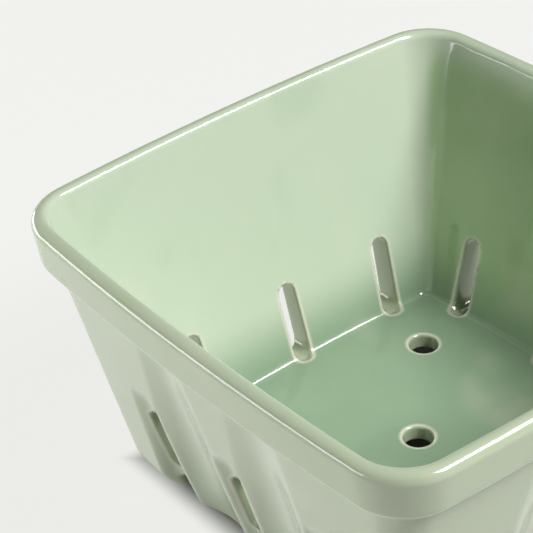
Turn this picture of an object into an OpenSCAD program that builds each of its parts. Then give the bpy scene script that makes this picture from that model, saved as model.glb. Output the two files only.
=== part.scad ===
// Square berry colander bowl in glazed stoneware, made in the form of a moulded berry basket.
// Z is up and the feet stand on z = 0, with the bowl centred on the Z axis. Lengths are in millimetres.
// The four sides bow out a little and lean in towards a raised floor that has five drain holes.
// Each side has three drain slots in narrow grooves, and two broad flutes between the grooves.

/* [Rim] */
// Width across the middle of two opposite sides
side = 140; // [120:1:180]
// Height from the table to the top of the rim
height = 76.5; // [70:0.5:100]
// Radius of the slight outward bow of each side
bow_r = 816; // [500:1:2000]
// Radius of the rim's corners, seen from above
corner_r = 15.5; // [12:0.5:20]
// Thickness of the fully rounded top of the rim
rim_t = 4.5; // [3:0.1:6]
// Height of the band round the rim
band_h = 13.5; // [10:0.5:20]
// Radius of the band's lower outer edge
band_edge_r = 2.8; // [1:0.1:4]
// Angle by which the band's face leans in, going down
band_lean = 7; // [0:0.5:10]

/* [Walls] */
// Step in from the rim's outside to the wall, just under the band
wall_step = 5; // [4:0.1:6]
// Lean of the wall's outside: how far in it has moved at the table, from under the band
wall_lean = 12.5; // [8:0.1:14]
// Radius of the wall's outside corners under the band
wall_corner_r = 10; // [6:0.5:14]
// Radius of the wall's outside corners at the table
foot_corner_r = 5.5; // [5:0.5:12]
// Radius of the inside corners at the floor
inner_corner_r = 2.8; // [2.4:0.1:12]
// Radius of the cove between the walls and the floor
cove_r = 1.5; // [1:0.1:2]

/* [Slots and grooves] */
// Number of slots in each side
slot_count = 3; // [2:1:3]
// Distance from the outer slots' upper ends to the band's face round the corner
slot_corner_gap = 38.2; // [34:0.1:44]
// Width of a slot
slot_w = 5; // [4.4:0.1:6]
// Height of a slot between its round ends
slot_h = 20.2; // [14:0.1:26]
// How far a slot's lower end dips below the top of the floor
slot_drop = 0.7; // [0:0.1:1.5]
// How far a slot's lower end cuts into the floor's edge
slot_inlet = 1; // [0.5:0.1:2]
// Angle by which each outer slot leans towards the middle, going down
slot_fan = 3.8; // [0:0.1:5]
// Radius of the round groove outside each slot
groove_r = 5.8; // [4.8:0.1:6.5]
// Depth of a groove at its round top
groove_top_depth = 1.9; // [1:0.1:2.5]
// Depth of a groove at the table
groove_foot_depth = 4.8; // [3:0.1:5.5]
// Rise of the groove's round top above its slot
groove_rise = 6.5; // [4:0.1:9]

/* [Flutes] */
// Radius of a flute's hollow
flute_r = 18; // [15:0.5:20]
// Depth of a flute at its round top
flute_top_depth = 0.6; // [0.4:0.1:2]
// Depth of a flute at the table
flute_foot_depth = 4.8; // [3:0.1:5.5]
// Gap from the band down to the round top of a flute
flute_drop = 4.5; // [1:0.1:10]

/* [Floor and feet] */
// Distance from the band's face to the inside wall, at the floor
floor_inset = 25.9; // [24:0.1:30]
// Height of the feet under the floor
foot_h = 5.5; // [4.5:0.1:8]
// Thickness of the floor
floor_t = 4.5; // [3.5:0.1:6]
// Diameter of the drain holes
hole_d = 7.5; // [6:0.1:10]
// Distance of each outer hole's centre from the two inside walls next to it, at the floor
hole_wall_gap = 17.5; // [10:0.1:20]
// Radius of the feet's lower outer edge
foot_edge_r = 6; // [2:0.1:6.5]
// Width of the drain notches between the feet
notch_w = 5.5; // [4:0.1:7]
// Bow radius of the sides, at the floor
floor_bow_r = 600; // [400:1:2000]
// Distance that the feet's inner faces stand out from the floor's flat
foot_lap = 0.5; // [0:0.1:2]

/* [Hidden] */

glaze = "#b7ccb0";
// Overrun of every cut past the faces that it leaves
over = 1;
// Steps along the bow of one side, round one corner, and down one rounded edge
bow_steps = 10;
corner_steps = 8;
edge_steps = 5;
// Steps over the rounded top of the rim
rim_steps = 9;

half = side / 2;
rim_r = rim_t / 2;
floor_top = foot_h + floor_t;
band_z = height - band_h;
inner_floor = half - floor_inset;
hole_offset = inner_floor - hole_wall_gap;
// Distance between neighbouring slots, at their upper ends
slot_pitch = 2 * (half - slot_corner_gap) / (slot_count - 1);

// Angle round the rim's rounding at which the inside wall runs out of it
rim_lean = atan((half - rim_t - inner_floor) / (height - rim_r - floor_top));
inner_top_z = height - rim_r + rim_r * sin(rim_lean);
inner_top = half - rim_r - rim_r * cos(rim_lean);
// Lean of the inside wall, in degrees from upright
inner_lean = atan((inner_top - inner_floor) / (inner_top_z - floor_top));
// Half width of the floor's flat, where the cove has run out
floor_flat = inner_floor - cove_r * (1 - sin(inner_lean)) / cos(inner_lean);
outer_top = half - wall_step;
outer_foot = outer_top - wall_lean;

// Centre of a rounded corner of a bowed square with half width a, bow radius b and corner radius r
function corner_c(a, b, r) = ((a - b) + sqrt(2 * pow(b - r, 2) - pow(a - b, 2))) / 2;
// Angle, seen from the bow's centre, at which the bowed side meets the corner
function side_angle(a, b, r) = atan2(corner_c(a, b, r), corner_c(a, b, r) - (a - b));

// Points round that square, anticlockwise, starting on its +X side
function bowed_square(a, b, r) =
    let (c = corner_c(a, b, r), w = side_angle(a, b, r))
    [for (k = [0:3])
        each concat(
            [for (i = [0:bow_steps - 1])
                turn([a - b + b * cos(w * (2 * i / bow_steps - 1)), b * sin(w * (2 * i / bow_steps - 1))], k)],
            [for (i = [0:corner_steps - 1])
                let (t = w + (90 - 2 * w) * i / corner_steps)
                turn([c + r * cos(t), c + r * sin(t)], k)])];

// A point turned by k quarter turns about the middle
function turn(p, k) = [p.x * cos(90 * k) - p.y * sin(90 * k), p.x * sin(90 * k) + p.y * cos(90 * k)];

function mix(a, b, share) = a + (b - a) * share;

// A tapered tub from height z0 up to z1, with its lower edge rounded to edge_r.
// low and high are [half width, bow radius, corner radius] at z0, before the rounding, and at z1.
module tub(z0, z1, low, high, edge_r) {
    lean = atan((high[0] - low[0]) / (z1 - z0));
    // Height where the side meets the rounding
    meet_z = z0 + edge_r * (1 - sin(lean));
    meet = mix(low[0], high[0], (meet_z - z0) / (z1 - z0));
    edge_rows = [for (i = [edge_steps:-1:0])
        let (t = mix(lean, 90, i / edge_steps))
        let (z = z0 + edge_r * (1 - sin(t)))
        let (sharp = mix(low, high, (z - z0) / (z1 - z0)))
        let (cut = sharp[0] - meet + edge_r * (cos(lean) - cos(t)))
        [z, [sharp[0] - cut, sharp[1] - cut, sharp[2] - cut]]];
    rows = concat(edge_rows, [[z1, high]]);
    rings = [for (row = rows) [for (p = bowed_square(row[1][0], row[1][1], row[1][2])) [p.x, p.y, row[0]]]];
    skin(rings);
}

// Closed skin over a stack of rings that all have the same number of points
module skin(rings) {
    n = len(rings[0]);
    top = len(rings) - 1;
    sides = [for (j = [0:top - 1]) for (i = [0:n - 1])
        let (a = j * n + i, b = j * n + (i + 1) % n)
        each [[a, a + n, b + n], [a, b + n, b]]];
    polyhedron(
        points = [for (ring = rings) each ring],
        faces = concat([[for (i = [0:n - 1]) i]], [[for (i = [n - 1:-1:0]) top * n + i]], sides),
        convexity = 10);
}

// Closed skin over a loop of rings round a hole, all with the same number of points
module tube_skin(rings) {
    n = len(rings[0]);
    m = len(rings);
    polyhedron(
        points = [for (ring = rings) each ring],
        faces = [for (j = [0:m - 1]) for (i = [0:n - 1])
            let (a = j * n + i, b = j * n + (i + 1) % n)
            let (c = ((j + 1) % m) * n + i, d = ((j + 1) % m) * n + (i + 1) % n)
            each [[a, b, d], [a, d, c]]],
        convexity = 10);
}

// The whole inside of the bowl, from the floor to just above the foot of the band
module inside() {
    tub(floor_top, band_z + over, inner_low, inner_size(band_z + over), cove_r);
}

// The whole outside of the walls and feet, before the grooves and flutes
module outside() {
    low = [outer_foot, bow_r, foot_corner_r];
    high = [outer_top, bow_r, wall_corner_r];
    tub(0, band_z, low, high, foot_edge_r);
}

// The floor's outline, where the cove has run out
module floor_outline(grow = 0) {
    cove_w = inner_floor - floor_flat - grow;
    polygon(bowed_square(inner_floor - cove_w, floor_bow_r - cove_w, inner_corner_r - cove_w));
}

// One ring of the rim: its outline drawn in by an inset, at a height
function rim_ring(inset, z) =
    [for (p = bowed_square(half - inset, bow_r - inset, corner_r - inset)) [p.x, p.y, z]];

// Half width, bow radius and corner radius of the inside, at the floor, at the rim and between
inner_low = [inner_floor, floor_bow_r, inner_corner_r];
inner_high = [inner_top, bow_r - (half - inner_top), corner_r - (half - inner_top)];
function inner_size(z) = mix(inner_low, inner_high, (z - floor_top) / (inner_top_z - floor_top));
function inner_ring(z) =
    let (size = inner_size(z))
    [for (p = bowed_square(size[0], size[1], size[2])) [p.x, p.y, z]];

// How far the band's leaning face stands in from the rim's outside at a height
function band_inset(z) = rim_r - rim_r / cos(band_lean) + (height - rim_r - z) * tan(band_lean);

// The band with its rounded top, as one closed skin: up the inside, over the top and down the face
module rim_band() {
    top_rings = [for (i = [1:rim_steps])
        let (t = mix(180 - rim_lean, -band_lean, i / rim_steps))
        rim_ring(rim_r - rim_r * cos(t), height - rim_r + rim_r * sin(t))];
    // The lower edge's rounding, which starts square to the leaning face
    edge_inset = band_inset(band_z + band_edge_r) + band_edge_r / cos(band_lean);
    edge_rings = [for (i = [0:edge_steps])
        let (t = mix(band_lean, 90, i / edge_steps))
        rim_ring(edge_inset - band_edge_r * cos(t), band_z + band_edge_r * (1 - sin(t)))];
    color(glaze) tube_skin(concat([inner_ring(band_z), inner_ring(inner_top_z)], top_rings, edge_rings));
}

// Half width of the wall's outside at a height
function outer_at(z) = outer_foot + wall_lean * z / band_z;

// Height of the slots' upper ends, and their places across a side
slot_top = floor_top - slot_drop + slot_h;
slot_places = [for (i = [0:slot_count - 1]) i - (slot_count - 1) / 2];
flute_places = [for (i = [0:slot_count - 2]) i - (slot_count - 2) / 2];
// Distance across the side from its middle to a place, at a height: the fan draws it in going down
function across(place, z) = place * (slot_pitch - (slot_top - z) * tan(slot_fan));

// The cutters below are for the wall that faces +X, at a place counted in pitches from its middle.
// A slot with round ends, from the floor's bowed edge straight out through the wall, leaning with the fan
module slot(place) {
    r = slot_w / 2;
    run = slot_h - slot_w;
    z = slot_top - r;
    bow = floor_bow_r - sqrt(pow(floor_bow_r, 2) - pow(across(place, floor_top), 2));
    translate([floor_flat - bow - slot_inlet, across(place, z), z])
        rotate([-place * slot_fan, 0, 0]) rotate([0, 90, 0]) {
            cylinder(r = r, h = side, $fn = 48);
            translate([run, 0, 0]) cylinder(r = r, h = side, $fn = 48);
            translate([0, -r, 0]) cube([run, slot_w, side]);
        }
}

// A round-bottomed channel down the wall's outside, from a ball end at height z on past the table
module channel(place, r, z, top_depth, foot_depth) {
    x = outer_at(z) - top_depth;
    lean = atan((x - outer_foot + foot_depth) / z);
    translate([x + r, across(place, z), z])
        rotate([0, lean, 0]) rotate([-place * slot_fan, 0, 0]) {
            sphere(r, $fn = 64);
            translate([0, 0, -height]) cylinder(r = r, h = height, $fn = 64);
        }
}

// Half width of the arch in which a channel's ball end meets the wall's face
function arch(r, depth) = sqrt(r * r - pow(r - depth, 2));

module groove(place) {
    z = slot_top + groove_rise - arch(groove_r, groove_top_depth);
    channel(place, groove_r, z, groove_top_depth, groove_foot_depth);
}

module flute(place) {
    z = band_z - flute_drop - arch(flute_r, flute_top_depth);
    channel(place, flute_r, z, flute_top_depth, flute_foot_depth);
}

module notch(place) {
    translate([inner_floor - floor_inset, across(place, foot_h) - notch_w / 2, -over])
        cube([side, notch_w, foot_h + over]);
}

module channels() {
    for (p = slot_places) groove(p);
    for (p = flute_places) flute(p);
}

// The wall that faces +X, mitred at its two corners, from the floor's underside up to the band
module side_wall(k) {
    color(glaze) rotate(90 * k) difference() {
        intersection() {
            outside();
            translate([0, 0, foot_h]) linear_extrude(band_z - foot_h)
                polygon([[0, 0], [side, -side], [side, side]]);
        }
        inside();
        translate([0, 0, foot_h - over]) linear_extrude(floor_t + 2 * over) floor_outline();
        for (p = slot_places) slot(p);
        channels();
    }
}

module bowl_floor() {
    color(glaze) translate([0, 0, foot_h]) difference() {
        linear_extrude(floor_t) floor_outline();
        translate([0, 0, -foot_h]) for (k = [0:3], p = slot_places) rotate(90 * k) slot(p);
        translate([0, 0, -over]) {
            cylinder(d = hole_d, h = floor_t + 2 * over, $fn = 64);
            for (x = [-1, 1], y = [-1, 1])
                translate([x * hole_offset, y * hole_offset, 0])
                    cylinder(d = hole_d, h = floor_t + 2 * over, $fn = 64);
        }
    }
}

// All the feet: the walls' outside carried down to the table, parted by the notches
module feet() {
    difference() {
        intersection() {
            outside();
            linear_extrude(foot_h) square(side, center = true);
        }
        translate([0, 0, -over]) linear_extrude(foot_h + 2 * over) floor_outline(foot_lap);
        for (k = [0:3]) rotate(90 * k) {
            for (p = slot_places) notch(p);
            channels();
        }
    }
}

// The square area of one corner, from the middle of its two notches outwards
module corner_area() {
    edge = across((slot_count - 1) / 2, foot_h);
    for (k = [0:3]) rotate(90 * k)
        translate([edge, edge, -over]) cube([side, side, height]);
}

module corner_feet() {
    color(glaze) intersection() {
        feet();
        corner_area();
    }
}

module side_feet() {
    color(glaze) difference() {
        feet();
        corner_area();
    }
}

rim_band();
side_wall(0);  // wall_right
side_wall(1);  // wall_back
side_wall(2);  // wall_left
side_wall(3);  // wall_front
bowl_floor();  // floor
corner_feet();
side_feet();
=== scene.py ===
"""Square berry colander bowl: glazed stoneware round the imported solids, in soft studio light.

The bowl's surface is the zero level of a distance field that is put together from the same sizes
as the CAD solids, with every edge rounded as a glaze rounds it. The surface is parted where the
CAD nodes part, into closed pieces that meet face to face, and each stands for the node of its
name. Sizes of the bowl are in millimetres, and the finished meshes are in metres.
"""

import math

import bmesh
import bpy
import numpy as np
from mathutils import Matrix, Vector


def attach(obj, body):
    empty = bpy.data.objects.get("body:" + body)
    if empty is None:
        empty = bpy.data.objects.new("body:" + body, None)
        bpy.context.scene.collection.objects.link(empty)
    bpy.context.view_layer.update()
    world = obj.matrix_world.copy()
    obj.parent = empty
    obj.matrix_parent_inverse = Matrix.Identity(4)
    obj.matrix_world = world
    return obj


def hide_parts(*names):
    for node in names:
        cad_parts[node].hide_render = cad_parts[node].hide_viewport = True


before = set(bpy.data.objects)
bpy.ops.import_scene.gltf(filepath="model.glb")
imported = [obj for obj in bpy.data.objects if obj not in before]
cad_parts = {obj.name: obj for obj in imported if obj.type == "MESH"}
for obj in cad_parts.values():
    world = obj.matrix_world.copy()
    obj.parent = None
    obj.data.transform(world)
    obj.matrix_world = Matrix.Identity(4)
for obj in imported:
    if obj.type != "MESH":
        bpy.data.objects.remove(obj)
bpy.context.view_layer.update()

MM = 0.001

# Rim and band
SIDE, HEIGHT = 140.0, 76.5
BOW_R, CORNER_R = 816.0, 15.5
RIM_R = 2.25
BAND_H, BAND_EDGE_R = 13.5, 2.8
BAND_LEAN = math.radians(7)
# Walls: how far they step in under the band and lean, their corner radii, and the floor's outline
WALL_STEP, WALL_LEAN = 5.0, 12.5
WALL_CORNER_R, FOOT_CORNER_R, INNER_CORNER_R = 10.0, 5.5, 2.8
FLOOR_INSET, FLOOR_BOW_R = 25.9, 600.0
# Floor and feet
FOOT_H, FLOOR_T, COVE_R = 5.5, 4.5, 1.5
HOLE_R, HOLE_OFFSET = 3.75, 26.6
HOLE_OFFSETS = (0, HOLE_OFFSET)
FOOT_EDGE_R, FOOT_LAP = 6.0, 0.5
NOTCH_W, NOTCH_TOP_R = 5.5, 1.5
# Slots, grooves and flutes
SLOT_PITCH, SLOT_W, SLOT_H = 31.8, 5.0, 20.2
SLOT_DROP, SLOT_INLET, INLET_R = 0.7, 1.0, 1.6
SLOT_FAN = math.radians(3.8)
GROOVE_R, GROOVE_RISE = 5.8, 6.5
GROOVE_TOP_DEPTH, GROOVE_FOOT_DEPTH = 1.9, 4.8
FLUTE_R, FLUTE_DROP = 18.0, 4.5
FLUTE_TOP_DEPTH, FLUTE_FOOT_DEPTH = 0.6, 4.8
# Places across a side in slot pitches. The middle is 0, and what lies past it mirrors it.
SLOT_PLACES, FLUTE_PLACES = (0, 1), (-0.5, 0.5)
# How far the glaze rounds each kind of edge
SLOT_LIP, HOLE_LIP, GROOVE_LIP, FLUTE_LIP = 0.6, 0.8, 1.7, 1.5
FOOT_LIP, BAND_FILLET, UNDER_FILLET = 1.0, 0.8, 1.0

# The mesh: its pitch, and where its faces are finer: past a bend over a reach, and near an opening
GRID = 0.9
SHARP, SHARP_REACH = 0.45, 0.5
FINE_BESIDE = 1.2
# Settling on the surface: the passes, the step that a slope is taken over, and its least square
SETTLE_PASSES, SLOPE_STEP, LEAST_SQUARE = 3, 0.05, 0.2
# Where the pieces part: at the top of the feet, between corner and side feet, and round the floor
FOOT_TOP, FOOT_PART, FLOOR_EDGE = 5.4, 30.2, 40.0
# A point this near a cutting plane lies on it
ON_PLANE = 1e-4

# Past the inner face, the inside's glaze is whole up to the first place and gone at the second
INSIDE_WHOLE, INSIDE_GONE = 0.4, 2.6
# Painted shade on the back wall grows over the first share of the depth, and over a way at corners
BACK_START, BACK_FADE = 0.125, 5.0
# The farthest distance from an opening that the glaze is told, and the reach of its bends
BESIDE_REACH, BEND_REACH = 4.0, 0.8

# The table's reach in metres. Outside the feet it turns white, from and to these places, so far.
TABLE_REACH = 6.0
WHITE_FROM, WHITE_TO, WHITENESS = 0.046, 0.055, 0.82
# Lights: name, place and aim in metres, width and height in metres, watts
LIGHTS = (
    ("key", (0.827, 0.44, 1.08), (0, 0, 0.04), (0.45, 0.45), 17),
    ("sparkle", (0.516, 0.737, 1.11), (0, 0, 0.04), (0.28, 0.28), 5.5),
    ("low_fill", (-0.36, -0.36, 0.07), (0, -0.04, 0.05), (1.0, 0.14), 2.25),
)
# The sky: its own strength, and that of a low band, which is full towards one way and low down
SKY_STRENGTH, BAND_STRENGTH = 0.04, 1.5
BAND_WAY, BAND_WAY_FULL = (-0.6, -0.8, 0), 0.95
BAND_TOP, BAND_FULL = 0.24, 0.02

HALF = SIDE / 2
FLOOR_TOP = FOOT_H + FLOOR_T
FLOOR_MIDDLE = FOOT_H + FLOOR_T / 2
BAND_Z = HEIGHT - BAND_H
RIM_Z = HEIGHT - RIM_R
INNER_FLOOR = HALF - FLOOR_INSET
RIM_LEAN = math.atan((HALF - 2 * RIM_R - INNER_FLOOR) / (RIM_Z - FLOOR_TOP))
INNER_TOP_Z = RIM_Z + RIM_R * math.sin(RIM_LEAN)
INNER_TOP = HALF - RIM_R - RIM_R * math.cos(RIM_LEAN)
INNER_LEAN = math.atan((INNER_TOP - INNER_FLOOR) / (INNER_TOP_Z - FLOOR_TOP))
OUTER_TOP = HALF - WALL_STEP
OUTER_FOOT = OUTER_TOP - WALL_LEAN
OUTER_LEAN = math.atan(WALL_LEAN / BAND_Z)
SLOT_TOP = FLOOR_TOP - SLOT_DROP + SLOT_H
# Where the floor's flat ends and its cove begins
FLAT = INNER_FLOOR - COVE_R * (1 - math.sin(INNER_LEAN)) / math.cos(INNER_LEAN)


# Distances: negative inside, positive outside. Seen from above, u is the place outwards from the
# middle of the bowl and v the place along the side, both taken as positive.

def both(a, b, r):
    """The overlap of two shapes, with the edge between them rounded to radius r."""
    corner = np.hypot(np.maximum(a + r, 0), np.maximum(b + r, 0))
    return np.minimum(np.maximum(a, b), -r) + corner


def joined(a, b, r):
    """Two shapes together, with a hollow fillet of radius r between them."""
    return -both(-a, -b, r)


def without(a, b, r):
    """One shape with another cut out of it, and the cut's lip rounded to radius r."""
    return both(a, -b, r)


def mix(low, high, share):
    return tuple(a + (b - a) * share for a, b in zip(low, high))


def bowed_square(u, v, size):
    """Distance to a square with bowed sides and round corners: half width, bow and corner radii."""
    a, b, r = size
    c = ((a - b) + np.sqrt(2 * (b - r) ** 2 - (a - b) ** 2)) / 2
    at_corner = v * (c - a + b) > (u - a + b) * c
    return np.where(at_corner, np.hypot(u - c, v - c) - r, np.hypot(u - a + b, v) - b)


def across(place, z):
    """Place across a side at a height, drawn in towards the middle going down."""
    return place * (SLOT_PITCH - (SLOT_TOP - z) * math.tan(SLOT_FAN))


def channel(u, v, z, place, r, top, lean):
    """A round channel that runs down from a ball end at top = (u, z)."""
    fan = place * SLOT_FAN
    way = (-math.cos(fan) * math.sin(lean), -math.sin(fan), -math.cos(fan) * math.cos(lean))
    off = (u - top[0], v - across(place, top[1]), z - top[1])
    along = np.maximum(off[0] * way[0] + off[1] * way[1] + off[2] * way[2], 0)
    return np.sqrt(sum((o - along * w) ** 2 for o, w in zip(off, way))) - r


def outer_at(z):
    return OUTER_FOOT + WALL_LEAN * z / BAND_Z


def arch(r, depth):
    """Half the width at which a round channel of radius r cuts a face to a depth."""
    return math.sqrt(r**2 - (r - depth) ** 2)


def outer_channel(u, v, z, place, r, top, top_depth, foot_depth):
    """A channel down the wall's outside, with its depth at its top end and at the table."""
    out = outer_at(top) - top_depth
    lean = math.atan((out - OUTER_FOOT + foot_depth) / top)
    return channel(u, v, z, place, r, (out + r, top), lean)


def groove(u, v, z, place):
    top = SLOT_TOP + GROOVE_RISE - arch(GROOVE_R, GROOVE_TOP_DEPTH)
    return outer_channel(u, v, z, place, GROOVE_R, top, GROOVE_TOP_DEPTH, GROOVE_FOOT_DEPTH)


def flute(u, v, z, place):
    top = BAND_Z - FLUTE_DROP - arch(FLUTE_R, FLUTE_TOP_DEPTH)
    return outer_channel(u, v, z, place, FLUTE_R, top, FLUTE_TOP_DEPTH, FLUTE_FOOT_DEPTH)


def slot(v, z, place):
    """A slot with round ends, straight through the wall."""
    r, fan = SLOT_W / 2, place * SLOT_FAN
    top = SLOT_TOP - r
    dv, dz = v - across(place, top), z - top
    along = np.clip(-dv * math.sin(fan) - dz * math.cos(fan), 0, SLOT_H - SLOT_W)
    return np.hypot(dv + along * math.sin(fan), dz + along * math.cos(fan)) - r


def floor_side_at(u, v):
    """Distance to the edge of the floor's flat, seen from above."""
    shrink = INNER_FLOOR - FLAT
    return bowed_square(u, v, (FLAT, FLOOR_BOW_R - shrink, INNER_CORNER_R - shrink))


def drain(u, v, z, place):
    """A slot from just inside the floor's edge outwards, with a rounded inner end."""
    return both(slot(v, z, place), -SLOT_INLET - floor_side_at(u, v), INLET_R)


def hole(ax, ay, offset):
    """A drain hole in the floor, as far from the middle along X as along Y."""
    return np.hypot(ax - offset, ay - offset) - HOLE_R


def notch(v, z, place):
    """A drain notch between two feet, up to the underside of the floor."""
    return both(np.abs(v - across(place, FOOT_H)) - NOTCH_W / 2, z - FOOT_H, NOTCH_TOP_R)


def inner_side_at(u, v, share):
    """Distance to the inner face, seen from above, at a share of the way up from the floor."""
    drop = HALF - INNER_TOP
    low, high = (INNER_FLOOR, FLOOR_BOW_R, INNER_CORNER_R), (INNER_TOP, BOW_R - drop, CORNER_R - drop)
    return bowed_square(u, v, mix(low, high, share))


def bowl(x, y, z):
    """Distance to the whole bowl."""
    ax, ay = np.abs(x), np.abs(y)
    u, v = np.maximum(ax, ay), np.minimum(ax, ay)

    low, high = (OUTER_FOOT, BOW_R, FOOT_CORNER_R), (OUTER_TOP, BOW_R, WALL_CORNER_R)
    wall = bowed_square(u, v, mix(low, high, z / BAND_Z)) * math.cos(OUTER_LEAN)
    wall = both(wall, -z, FOOT_EDGE_R)
    for place in FLUTE_PLACES:
        wall = without(wall, flute(u, v, z, place), FLUTE_LIP)
    for place in SLOT_PLACES:
        wall = without(wall, groove(u, v, z, place), GROOVE_LIP)
    wall = np.maximum(wall, z - BAND_Z - BAND_EDGE_R - BAND_FILLET)

    # The band's face leans in going down, from the rim's round
    face = bowed_square(u, v, (HALF, BOW_R, CORNER_R))
    drawn_in = RIM_R - RIM_R / math.cos(BAND_LEAN) + (RIM_Z - z) * math.tan(BAND_LEAN)
    band = both((face + drawn_in) * math.cos(BAND_LEAN), BAND_Z - z, BAND_EDGE_R)
    body = joined(wall, band, BAND_FILLET)

    # The inside: leaning walls above the floor, and the feet's upright inner faces below it
    share = np.maximum(z - FLOOR_TOP, 0) / (INNER_TOP_Z - FLOOR_TOP)
    floor_side = floor_side_at(u, v)
    under = z < FLOOR_MIDDLE
    leaning = inner_side_at(u, v, share) * math.cos(INNER_LEAN)
    body = without(body, np.where(under, floor_side - FOOT_LAP, leaning), FOOT_LIP)
    # The rim's full round, from the band's face over to the inside
    across_rim = math.sin(RIM_LEAN) + math.sin(BAND_LEAN)
    up_rim = math.cos(RIM_LEAN) + math.cos(BAND_LEAN)
    above = (face + RIM_R - RIM_R * math.cos(BAND_LEAN)) * across_rim
    above += (z - RIM_Z + RIM_R * math.sin(BAND_LEAN)) * up_rim
    body = np.maximum(body, above / math.hypot(across_rim, up_rim))
    body = np.minimum(body, np.hypot(face + RIM_R, z - RIM_Z) - RIM_R)

    for place in SLOT_PLACES:
        body = without(body, notch(v, z, place), FOOT_LIP)

    # The floor slab, with the cove round its top
    slab = np.maximum(floor_side - FOOT_LAP, np.abs(z - FLOOR_MIDDLE) - FLOOR_T / 2)
    body = np.where(under, joined(body, slab, UNDER_FILLET), joined(body, slab, COVE_R))
    # The slots dip into the floor's edge
    for place in SLOT_PLACES:
        body = without(body, drain(u, v, z, place), SLOT_LIP)
    for offset in HOLE_OFFSETS:
        body = without(body, hole(ax, ay, offset), HOLE_LIP)
    return body


def slope(points):
    """The field's gradient at points."""
    out = np.empty_like(points)
    for k in range(3):
        shift = np.zeros(3)
        shift[k] = SLOPE_STEP
        out[:, k] = (bowl(*(points + shift).T) - bowl(*(points - shift).T)) / (2 * SLOPE_STEP)
    return out


def settled(points):
    """Points near the bowl's surface, moved onto it."""
    for _ in range(SETTLE_PASSES):
        g = slope(points)
        square = np.maximum((g * g).sum(1), LEAST_SQUARE)
        points = points - g * (bowl(*points.T) / square)[:, None]
    return points


def level_mesh(pitch):
    """(points, quads) of the bowl's surface: one point in each cell of a grid that it crosses."""
    # The grid reaches past the bowl on every side. The field is worked out for a quarter of it, and
    # mirrored for the rest.
    n = int(math.ceil(HALF / pitch)) + 2
    quarter = np.arange(n + 1) * pitch
    zs = (np.arange(int(math.ceil(HEIGHT / pitch)) + 4) - 1.5) * pitch
    part = bowl(*np.meshgrid(quarter, quarter, zs, indexing="ij"))
    part = np.concatenate([part[:0:-1], part])
    field = np.concatenate([part[:, :0:-1], part], axis=1)
    inside = field < 0

    cells = np.array([c - 1 for c in field.shape])
    corner = {}
    for i in (0, 1):
        for j in (0, 1):
            for k in (0, 1):
                corner[i, j, k] = np.s_[i : i + cells[0], j : j + cells[1], k : k + cells[2]]
    count = sum(inside[c].astype(np.int8) for c in corner.values())
    found = np.nonzero((count > 0) & (count < 8))
    number = np.full(tuple(cells), -1, np.int64)
    number[found] = np.arange(len(found[0]))

    # Each point is the mean of the places where the surface crosses its cell's edges
    total, crossings = np.zeros((len(found[0]), 3)), np.zeros(len(found[0]))
    for a in corner:
        for axis in range(3):
            if a[axis]:
                continue
            b = tuple(c + (k == axis) for k, c in enumerate(a))
            fa, fb = field[corner[a]][found], field[corner[b]][found]
            crosses = (fa < 0) != (fb < 0)
            share = np.where(crosses, fa / np.where(crosses, fa - fb, 1), 0)
            place = np.tile(np.array(a, float), (len(share), 1))
            place[:, axis] += share
            total += place * crosses[:, None]
            crossings += crosses
    at = np.array(found).T + total / crossings[:, None]
    points = np.array([-n * pitch, -n * pitch, zs[0]]) + at * pitch

    # Each grid edge that crosses the surface gives a quad between the four cells round it
    quads = []
    for axis in range(3):
        b, c = (axis + 1) % 3, (axis + 2) % 3
        low = [slice(1, -1)] * 3
        high = [slice(1, -1)] * 3
        low[axis], high[axis] = slice(0, -1), slice(1, None)
        starts, ends = inside[tuple(low)], inside[tuple(high)]
        for leaving in (True, False):
            where = np.nonzero((starts & ~ends) if leaving else (~starts & ends))
            base = [w + 1 for w in where]
            base[axis] = where[axis]
            ring = []
            for ob, oc in ((0, 0), (1, 0), (1, 1), (0, 1)):
                cell = list(base)
                cell[b] = base[b] - 1 + ob
                cell[c] = base[c] - 1 + oc
                ring.append(number[tuple(cell)])
            quads.append(np.stack(ring if leaving else ring[::-1], 1))
    return settled(points), np.concatenate(quads)


def bend(points, reach):
    """How sharply the surface bends, seen over a reach: positive on lips, negative in hollows."""
    middle = bowl(*points.T)
    total = -6 * middle
    for k in range(3):
        shift = np.zeros(3)
        shift[k] = reach
        total += bowl(*(points + shift).T) + bowl(*(points - shift).T)
    return total / reach


def glaze_zones(points):
    """Where the glaze's colour differs: inside, deep inside, the back wall's painted shade, and beside
    an opening in mm.
    """
    x, y, z = points.T
    ax, ay = np.abs(x), np.abs(y)
    u, v = np.maximum(ax, ay), np.minimum(ax, ay)
    share = np.clip((z - FLOOR_TOP) / (INNER_TOP_Z - FLOOR_TOP), 0, 1)
    past = inner_side_at(u, v, share)
    inner = np.clip((INSIDE_GONE - past) / (INSIDE_GONE - INSIDE_WHOLE), 0, 1)
    depth = inner * (1 - share)
    back = np.clip(depth / BACK_START, 0, 1) * np.clip((y - ax) / BACK_FADE + 0.5, 0, 1)
    openings = [drain(u, v, z, place) for place in SLOT_PLACES]
    openings += [hole(ax, ay, offset) for offset in HOLE_OFFSETS]
    beside = np.clip(np.min(openings, axis=0), 0, BESIDE_REACH)
    return {"inner": inner, "depth": depth, "back": back, "beside": beside}


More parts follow.
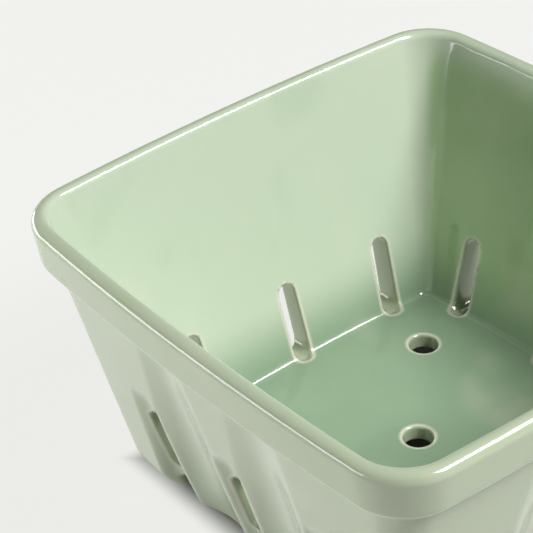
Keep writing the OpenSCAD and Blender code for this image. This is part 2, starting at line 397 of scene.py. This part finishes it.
def whole_surface():
    """The bowl's surface as one bmesh, in millimetres, with finer faces where it bends sharply."""
    points, quads = level_mesh(GRID)
    mesh = bpy.data.meshes.new("surface")
    mesh.vertices.add(len(points))
    mesh.vertices.foreach_set("co", points.astype(np.float32).ravel())
    mesh.loops.add(quads.size)
    mesh.loops.foreach_set("vertex_index", quads.astype(np.int32).ravel())
    mesh.polygons.add(len(quads))
    mesh.polygons.foreach_set("loop_start", np.arange(0, quads.size, 4, dtype=np.int32))
    mesh.update(calc_edges=True)
    mesh.shade_smooth()
    surface = bmesh.new()
    surface.from_mesh(mesh)
    bpy.data.meshes.remove(mesh)

    fine = np.abs(bend(points, SHARP_REACH)) > SHARP
    fine |= glaze_zones(points)["beside"] < FINE_BESIDE
    edges = [e for e in surface.edges if fine[e.verts[0].index] and fine[e.verts[1].index]]
    bmesh.ops.subdivide_edges(surface, edges=edges, cuts=1, use_grid_fill=True)
    places = settled(np.array([v.co for v in surface.verts]))
    for vertex, place in zip(surface.verts, places):
        vertex.co = place
    return surface


def beyond(source, *planes):
    """A closed copy of what lies behind planes, each a place on it and the way that it faces."""
    piece = source.copy()
    for place, way in planes:
        everything = piece.verts[:] + piece.edges[:] + piece.faces[:]
        bmesh.ops.bisect_plane(piece, geom=everything, dist=ON_PLANE,
                               plane_co=place, plane_no=way, clear_outer=True)
        cut = [e for e in piece.edges if e.is_boundary]
        cap = bmesh.ops.triangle_fill(piece, edges=cut, use_beauty=True, normal=way)
        for face in cap["geom"]:
            if isinstance(face, bmesh.types.BMFace):
                face.smooth = False
    return piece


def quarter_turned(way, k):
    """A place or way, turned k quarter turns about Z."""
    x, y, z = way
    for _ in range(k):
        x, y = -y, x
    return x, y, z


def parted(surface):
    """The surface as one closed bmesh for each CAD node."""
    up, down = (0, 0, 1), (0, 0, -1)
    pieces = {"rim_band": beyond(surface, ((0, 0, BAND_Z), down))}
    low = beyond(surface, ((0, 0, BAND_Z), up))
    feet = beyond(low, ((0, 0, FOOT_TOP), up))
    unwanted = {"corner_feet": lambda v: v < FOOT_PART, "side_feet": lambda v: v > FOOT_PART}
    for name, is_unwanted in unwanted.items():
        piece = feet.copy()
        others = [p for p in piece.verts if is_unwanted(min(abs(p.co.x), abs(p.co.y)))]
        bmesh.ops.delete(piece, geom=others, context="VERTS")
        # Two feet may touch by a sliver at the top of a notch, which leaves a hole in each
        bmesh.ops.holes_fill(piece, edges=[e for e in piece.edges if e.is_boundary])
        pieces[name] = piece
    middle = beyond(low, ((0, 0, FOOT_TOP), down))
    edge = (FLOOR_EDGE, 0, 0)
    sides = [(quarter_turned(edge, k), quarter_turned((1, 0, 0), k)) for k in range(4)]
    pieces["floor"] = beyond(middle, *sides)
    for k, name in enumerate(("wall_right", "wall_back", "wall_left", "wall_front")):
        inner_face = (quarter_turned(edge, k), quarter_turned((-1, 0, 0), k))
        mitres = [((0, 0, 0), quarter_turned(way, k)) for way in ((-1, 1, 0), (-1, -1, 0))]
        pieces[name] = beyond(middle, inner_face, *mitres)
    return pieces


def add_number(mesh, name, values):
    made = mesh.attributes.new(name, "FLOAT", "POINT")
    made.data.foreach_set("value", values.astype(np.float32))


def finished_mesh(name, piece):
    """The piece's mesh in metres, shaded by the field's own slope so that its seams don't show."""
    mesh = bpy.data.meshes.new(name)
    piece.to_mesh(mesh)
    points = np.empty(len(mesh.vertices) * 3)
    mesh.vertices.foreach_get("co", points)
    points = points.reshape(-1, 3)
    normals = slope(points)
    normals /= np.linalg.norm(normals, axis=1)[:, None]
    corners = np.empty(len(mesh.loops), np.int32)
    mesh.loops.foreach_get("vertex_index", corners)
    shading = normals[corners]
    # The faces where the pieces part stay flat
    faces, smooth = np.empty(len(mesh.polygons) * 3), np.empty(len(mesh.polygons), bool)
    mesh.polygons.foreach_get("normal", faces)
    mesh.polygons.foreach_get("use_smooth", smooth)
    counts = np.empty(len(mesh.polygons), np.int32)
    mesh.polygons.foreach_get("loop_total", counts)
    flat = np.repeat(~smooth, counts)
    shading[flat] = np.repeat(faces.reshape(-1, 3), counts, axis=0)[flat]

    add_number(mesh, "bend", bend(points, BEND_REACH))
    for zone, values in glaze_zones(points).items():
        add_number(mesh, zone, values)
    mesh.vertices.foreach_set("co", (points * MM).ravel())
    mesh.update()
    mesh.normals_split_custom_set(shading)
    return mesh


class Tree:
    """The nodes of a material or of the world, and how this scene adds to them."""

    def __init__(self, owner):
        owner.use_nodes = True
        self.nodes, self.links = owner.node_tree.nodes, owner.node_tree.links

    def feed(self, socket, value):
        """Gives a socket another node's output, a colour or a number."""
        if isinstance(value, bpy.types.NodeSocket):
            self.links.new(value, socket)
        elif isinstance(value, tuple):
            socket.default_value = (*value, 1)
        else:
            socket.default_value = value

    def node(self, kind, **values):
        """A new node, with values for its sockets or for its own settings."""
        made = self.nodes.new(kind)
        for key, value in values.items():
            if key in made.inputs.keys():
                self.feed(made.inputs[key], value)
            else:
                setattr(made, key, value)
        return made

    def blend(self, factor, first, second):
        """Mixes two colours, each an output or a plain colour."""
        made = self.node("ShaderNodeMix", data_type="RGBA", Factor=factor)
        # Its sockets 6 and 7 are the two that take colours
        self.feed(made.inputs[6], first)
        self.feed(made.inputs[7], second)
        return made.outputs[2]

    def ranged(self, value, none_at, most_at, most=1.0):
        """From 0 to the most, smoothly, as a value goes between two numbers."""
        made = self.node("ShaderNodeMapRange", interpolation_type="SMOOTHSTEP", Value=value)
        for name, number in (("From Min", none_at), ("From Max", most_at), ("To Max", most)):
            made.inputs[name].default_value = number
        return made.outputs["Result"]

    def maths(self, operation, first, second):
        made = self.node("ShaderNodeMath", operation=operation)
        self.feed(made.inputs[0], first)
        self.feed(made.inputs[1], second)
        return made.outputs["Value"]

    def separate(self, vector):
        return self.node("ShaderNodeSeparateXYZ", Vector=vector).outputs


def glaze_material():
    material = bpy.data.materials.new("sage_glaze")
    tree = Tree(material)
    shader = tree.nodes["Principled BSDF"]
    places = tree.node("ShaderNodeTexCoord").outputs["Object"]

    def noise(scale, detail):
        made = tree.node("ShaderNodeTexNoise", Scale=scale, Detail=detail, Vector=places)
        return made.outputs["Fac"]

    def attribute(name):
        return tree.node("ShaderNodeAttribute", attribute_name=name).outputs["Fac"]

    # Paler inside than outside, as painted light for the lamp-lit inner walls; darkest low in the
    # basin and darker in hollows
    outside, inside, basin_dark = (0.54, 0.625, 0.44), (0.62, 0.72, 0.555), (0.29, 0.41, 0.275)
    painted_back_shade, hollow, cream = (0.44, 0.61, 0.33), (0.40, 0.53, 0.335), (0.80, 0.76, 0.64)
    olive, clay = (0.45, 0.51, 0.36), (0.50, 0.36, 0.27)
    cloud, bends, beside = noise(38, 2), attribute("bend"), attribute("beside")
    height = tree.separate(places)["Z"]
    # What each tint follows, where it starts, where it is strongest, how strong, and its colour. The
    # back wall is painted darker and greener as shade, the glaze breaks pale over lips, and the feet
    # are bare clay.
    tints = (
        # Painted shade: the back wall's inside is darker and greener
        (attribute("back"), 0.0, 1.0, 0.9, painted_back_shade),
        # Darker low in the basin
        (attribute("depth"), 0.72, 1.0, 1.0, basin_dark),
        (cloud, 0.55, 0.75, 0.22, cream),
        (cloud, 0.45, 0.25, 0.2, hollow),
        (bends, -0.05, -0.8, 1.0, hollow),
        (bends, 0.35, 1.4, 0.85, cream),
        (beside, 1.5, 0.6, 0.7, cream),
        (beside, 0.45, 0.15, 1.0, olive),
        (height, 0.9 * MM, 0.4 * MM, 0.8, clay),
    )
    # The inside's paler colour is painted light for the lamp-lit inner walls
    colour = tree.blend(attribute("inner"), outside, inside)
    for value, starts, strongest, most, tint in tints:
        colour = tree.blend(tree.ranged(value, starts, strongest, most), colour, tint)
    tree.feed(shader.inputs["Base Color"], colour)
    shader.inputs["Roughness"].default_value = 0.11
    shader.inputs["IOR"].default_value = 1.52
    shader.inputs["Coat Weight"].default_value = 0.35
    shader.inputs["Coat Roughness"].default_value = 0.05

    ripple = tree.node("ShaderNodeBump", Strength=0.25, Distance=0.6 * MM, Height=noise(55, 1))
    pits = tree.node("ShaderNodeBump", Strength=0.12, Distance=0.06 * MM, Height=noise(900, 2),
                     Normal=ripple.outputs["Normal"])
    tree.feed(shader.inputs["Normal"], pits.outputs["Normal"])
    return material


glaze = glaze_material()
for node, piece in parted(whole_surface()).items():
    mesh = finished_mesh(node + "_glazed", piece)
    mesh.materials.append(glaze)
    body = bpy.data.objects.new(mesh.name, mesh)
    bpy.context.scene.collection.objects.link(body)
    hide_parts(node)
    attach(body, "root")


def add_camera():
    """The camera at the photograph's viewing angle."""
    azimuth, elevation, roll = math.radians(52.715), math.radians(35.417), math.radians(-3.41)
    distance, lens_px, frame_px = 0.430247, 1941.213, 533
    target = Vector((-0.007815, -0.038215, HEIGHT * MM))
    back = Vector((
        math.sin(azimuth) * math.cos(elevation),
        -math.cos(azimuth) * math.cos(elevation),
        math.sin(elevation),
    ))
    right = (-back).cross(Vector((0, 0, 1))).normalized()
    up = right.cross(-back)
    rolled_right = right * math.cos(roll) + up * math.sin(roll)
    rolled_up = up * math.cos(roll) - right * math.sin(roll)
    data = bpy.data.cameras.new("camera")
    data.sensor_width = 36
    data.lens = lens_px / frame_px * data.sensor_width
    data.clip_start = 0.01
    camera = bpy.data.objects.new("camera", data)
    turned = Matrix((rolled_right, rolled_up, back)).transposed()
    camera.matrix_world = Matrix.Translation(target + back * distance) @ turned.to_4x4()
    bpy.context.scene.collection.objects.link(camera)
    bpy.context.scene.camera = camera


def add_table():
    """A pale table that looks nearly white, with the bowl's soft shadow still on it."""
    mesh = bpy.data.meshes.new("table")
    corners = [quarter_turned((TABLE_REACH, TABLE_REACH, 0), k) for k in (2, 3, 0, 1)]
    mesh.from_pydata(corners, [], [(0, 1, 2, 3)])
    table = bpy.data.objects.new("table", mesh)
    bpy.context.scene.collection.objects.link(table)
    material = bpy.data.materials.new("table_white")
    tree = Tree(material)
    shader = tree.nodes["Principled BSDF"]
    shader.inputs["Base Color"].default_value = (0.47, 0.47, 0.46, 1)
    shader.inputs["Roughness"].default_value = 0.7
    # Only the camera and the glaze's reflections see the white, and none of it lights the bowl
    white = tree.node("ShaderNodeEmission", Color=(0.99, 0.995, 0.965))
    place = tree.node("ShaderNodeVectorMath", operation="ABSOLUTE")
    tree.feed(place.inputs[0], tree.node("ShaderNodeTexCoord").outputs["Object"])
    off_middle = tree.separate(place.outputs["Vector"])
    away = tree.maths("MAXIMUM", off_middle["X"], off_middle["Y"])
    rays = tree.node("ShaderNodeLightPath").outputs
    seen = tree.maths("MAXIMUM", rays["Is Camera Ray"], rays["Is Glossy Ray"])
    share = tree.maths("MULTIPLY", seen, tree.ranged(away, WHITE_FROM, WHITE_TO, WHITENESS))
    looks = tree.node("ShaderNodeMixShader")
    for socket, value in zip(looks.inputs, (share, shader.outputs["BSDF"], white.outputs["Emission"])):
        tree.feed(socket, value)
    tree.feed(tree.nodes["Material Output"].inputs["Surface"], looks.outputs["Shader"])
    mesh.materials.append(material)


def add_light(name, place, aim, size, power):
    data = bpy.data.lights.new(name, "AREA")
    data.shape = "RECTANGLE"
    data.size, data.size_y = size
    data.energy = power
    light = bpy.data.objects.new(name, data)
    light.location = place
    light.rotation_mode = "QUATERNION"
    light.rotation_quaternion = (Vector(aim) - Vector(place)).to_track_quat("-Z", "Y")
    bpy.context.scene.collection.objects.link(light)


def add_world():
    """A dim sky over a low bright band on the left, which lights the outside of the front wall."""
    world = bpy.data.worlds.new("studio")
    tree = Tree(world)
    background = tree.nodes["Background"]
    background.inputs["Color"].default_value = (1, 1, 1, 1)
    way = tree.node("ShaderNodeTexCoord").outputs["Generated"]
    towards = tree.node("ShaderNodeVectorMath", operation="DOT_PRODUCT")
    tree.feed(towards.inputs[0], way)
    towards.inputs[1].default_value = BAND_WAY
    low = tree.ranged(tree.separate(way)["Z"], BAND_TOP, BAND_FULL)
    facing = tree.ranged(towards.outputs["Value"], 0.0, BAND_WAY_FULL, BAND_STRENGTH)
    band = tree.maths("MULTIPLY", low, facing)
    tree.feed(background.inputs["Strength"], tree.maths("ADD", band, SKY_STRENGTH))
    bpy.context.scene.world = world


add_camera()
add_table()
add_world()
for light in LIGHTS:
    add_light(*light)

bpy.context.scene.view_settings.view_transform = "Standard"
